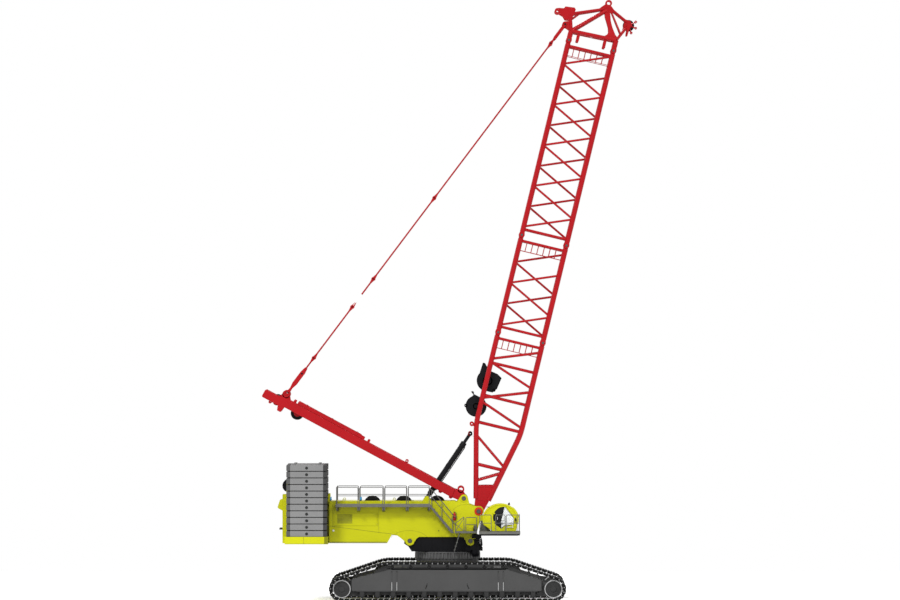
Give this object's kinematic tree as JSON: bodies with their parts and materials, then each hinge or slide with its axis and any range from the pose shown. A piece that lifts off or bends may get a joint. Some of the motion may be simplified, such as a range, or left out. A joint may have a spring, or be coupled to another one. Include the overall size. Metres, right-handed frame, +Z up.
{
  "type": "crawler crane",
  "caption": "Crawler crane with a lattice boom, a derricking mast, stacked rear counterweight, hoist winches and a side cab on a slewing upper frame.",
  "frame": {"origin": "where the slewing axis meets the ground", "axes": "+X to the front, where the boom leans; +Y to the operator's left; +Z up"},
  "size_m": [22.3249, 10.3, 35.9647],
  "materials": {
    "lime_paint": "gloss",
    "red_paint": "gloss",
    "black_paint": "satin",
    "dark_grey": "worn",
    "frame_grey": "satin",
    "slab_grey": "matt",
    "rail_grey": "galvanised",
    "tinted": "gloss",
    "clear_glass": "clear",
    "steel": "ground",
    "seat_cloth": "woven"
  },
  "bodies": {
    "undercarriage": {"carbody": "frame_grey", "slewing_ring": "frame_grey", "crawler_frame_right": "frame_grey", "crawler_frame_left": "frame_grey", "track_right": "dark_grey", "track_left": "dark_grey"},
    "drive_wheel_right": {"drive_wheel_right": "dark_grey"},
    "drive_wheel_left": {"drive_wheel_left": "dark_grey"},
    "idler_wheel_right": {"idler_wheel_right": "dark_grey"},
    "idler_wheel_left": {"idler_wheel_left": "dark_grey"},
    "superstructure": {"turntable_frame": "black_paint", "upper_frame": "lime_paint", "engine_block": "black_paint", "tail_frame": "lime_paint", "counterweight_stack_right": "slab_grey", "counterweight_stack_left": "slab_grey", "walkway_right": "rail_grey", "walkway_left": "rail_grey", "stairs": "rail_grey", "landing": "rail_grey", "cab_platform": "rail_grey", "cab_shell": "lime_paint", "cab_glass_outer": "clear_glass", "cab_glass_inner": "clear_glass", "windscreen": "clear_glass", "operator_seat": "seat_cloth", "control_console": "black_paint"},
    "service_door_right": {"service_door_right": "lime_paint"},
    "service_door_left": {"service_door_left": "lime_paint"},
    "hoist_drum_1": {"hoist_drum_1": "black_paint"},
    "hoist_drum_2": {"hoist_drum_2": "black_paint"},
    "hoist_drum_3": {"hoist_drum_3": "black_paint"},
    "luffing_winch": {"luffing_winch_drum": "black_paint"},
    "cab_door": {"cab_door": "tinted"},
    "boom": {"boom_foot": "red_paint", "boom_insert_short": "red_paint", "boom_insert_long": "red_paint", "boom_head": "red_paint", "boom_winch_frame_upper": "black_paint", "boom_winch_frame_lower": "black_paint"},
    "boom_winch_drum_upper": {"boom_winch_drum_upper": "black_paint"},
    "boom_winch_drum_lower": {"boom_winch_drum_lower": "black_paint"},
    "nose_sheave": {"nose_sheave": "black_paint"},
    "mast": {"mast_frame": "red_paint", "stored_bar_right": "red_paint", "stored_bar_left": "red_paint"},
    "mast_sheaves_outer": {"mast_sheaves_outer": "black_paint"},
    "mast_sheaves_inner": {"mast_sheaves_inner": "black_paint"},
    "main_stays": {"main_stay_right": "red_paint", "main_stay_left": "red_paint"},
    "backstop_barrels": {"backstop_barrel_right": "black_paint", "backstop_barrel_left": "black_paint"},
    "backstop_rods": {"backstop_rod_right": "steel", "backstop_rod_left": "steel"}
  },
  "joints": [
    {"name": "slew", "type": "hinge", "parent": "undercarriage", "child": "superstructure", "pos_m": [0, 0, 2.9], "axis": [0, 0, 1], "continuous": true},
    {"name": "drive_right", "type": "hinge", "parent": "undercarriage", "child": "drive_wheel_right", "pos_m": [-6.3, -4.4, 0.77], "axis": [0, 1, 0], "continuous": true},
    {"name": "idler_right", "type": "hinge", "parent": "undercarriage", "child": "idler_wheel_right", "pos_m": [6.3, -4.4, 0.77], "axis": [0, 1, 0], "continuous": true},
    {"name": "drive_left", "type": "hinge", "parent": "undercarriage", "child": "drive_wheel_left", "pos_m": [-6.3, 4.4, 0.77], "axis": [0, 1, 0], "continuous": true},
    {"name": "idler_left", "type": "hinge", "parent": "undercarriage", "child": "idler_wheel_left", "pos_m": [6.3, 4.4, 0.77], "axis": [0, 1, 0], "continuous": true},
    {"name": "boom_luff", "type": "hinge", "parent": "superstructure", "child": "boom", "pos_m": [1.854, 0, 5.328], "axis": [0, -1, 0], "range_deg": [-70, 9]},
    {"name": "mast_luff", "type": "hinge", "parent": "superstructure", "child": "mast", "pos_m": [0.97, 0, 6.1], "axis": [0, -1, 0], "range_deg": [-76, 10]},
    {"name": "stay_swing", "type": "hinge", "parent": "boom", "child": "main_stays", "pos_m": [7.03583, 0, 34.48713], "axis": [0, -1, 0], "range_deg": [-1.5, 1.5]},
    {"name": "backstop_hinge", "type": "hinge", "parent": "superstructure", "child": "backstop_barrels", "pos_m": [-1.24, 0, 6.11], "axis": [0, -1, 0], "range_deg": [-48, 7]},
    {"name": "backstop_slide", "type": "slide", "parent": "backstop_barrels", "child": "backstop_rods", "axis": [0.5593, 0, 0.829], "range_m": [-0.4, 2.96]},
    {"name": "hoist_drum_1_spin", "type": "hinge", "parent": "superstructure", "child": "hoist_drum_1", "pos_m": [-4.51, 0, 5.72], "axis": [0, 1, 0], "continuous": true},
    {"name": "hoist_drum_2_spin", "type": "hinge", "parent": "superstructure", "child": "hoist_drum_2", "pos_m": [-2.62, 0, 5.72], "axis": [0, 1, 0], "continuous": true},
    {"name": "hoist_drum_3_spin", "type": "hinge", "parent": "superstructure", "child": "hoist_drum_3", "pos_m": [-0.64, 0, 5.72], "axis": [0, 1, 0], "continuous": true},
    {"name": "luffing_winch_spin", "type": "hinge", "parent": "superstructure", "child": "luffing_winch", "pos_m": [-9.5, 0, 6.85], "axis": [0, 1, 0], "continuous": true},
    {"name": "boom_winch_upper_spin", "type": "hinge", "parent": "boom", "child": "boom_winch_drum_upper", "pos_m": [2.39603, 0, 13.13958], "axis": [0, 1, 0], "continuous": true},
    {"name": "boom_winch_lower_spin", "type": "hinge", "parent": "boom", "child": "boom_winch_drum_lower", "pos_m": [1.70674, 0, 11.60873], "axis": [0, 1, 0], "continuous": true},
    {"name": "nose_sheave_spin", "type": "hinge", "parent": "boom", "child": "nose_sheave", "pos_m": [10.84905, 0, 34.42884], "axis": [0, 1, 0], "continuous": true},
    {"name": "mast_sheaves_outer_spin", "type": "hinge", "parent": "mast", "child": "mast_sheaves_outer", "pos_m": [-10.18903, 0, 11.99495], "axis": [0, 1, 0], "continuous": true},
    {"name": "mast_sheaves_inner_spin", "type": "hinge", "parent": "mast", "child": "mast_sheaves_inner", "pos_m": [-9.00987, 0, 11.18967], "axis": [0, 1, 0], "continuous": true},
    {"name": "service_door_right_swing", "type": "hinge", "parent": "superstructure", "child": "service_door_right", "pos_m": [-4.18, -1.7203, 4.85], "axis": [0, 0, 1], "range_deg": [0, 100]},
    {"name": "service_door_left_swing", "type": "hinge", "parent": "superstructure", "child": "service_door_left", "pos_m": [-4.18, 1.7203, 4.85], "axis": [0, 0, -1], "range_deg": [0, 100]},
    {"name": "cab_door_swing", "type": "hinge", "parent": "superstructure", "child": "cab_door", "pos_m": [2.7, -3.4203, 4.99], "axis": [0, 0, -1], "range_deg": [0, 95]}
  ],
  "couplings": [
    {"joint": "mast_luff", "follows": "boom_luff", "ratio": 1.0795},
    {"joint": "stay_swing", "follows": "boom_luff", "ratio": -0.014},
    {"joint": "backstop_hinge", "follows": "boom_luff", "ratio": 0.67},
    {"joint": "backstop_slide", "follows": "boom_luff", "m_per_rad": -2.406}
  ]
}
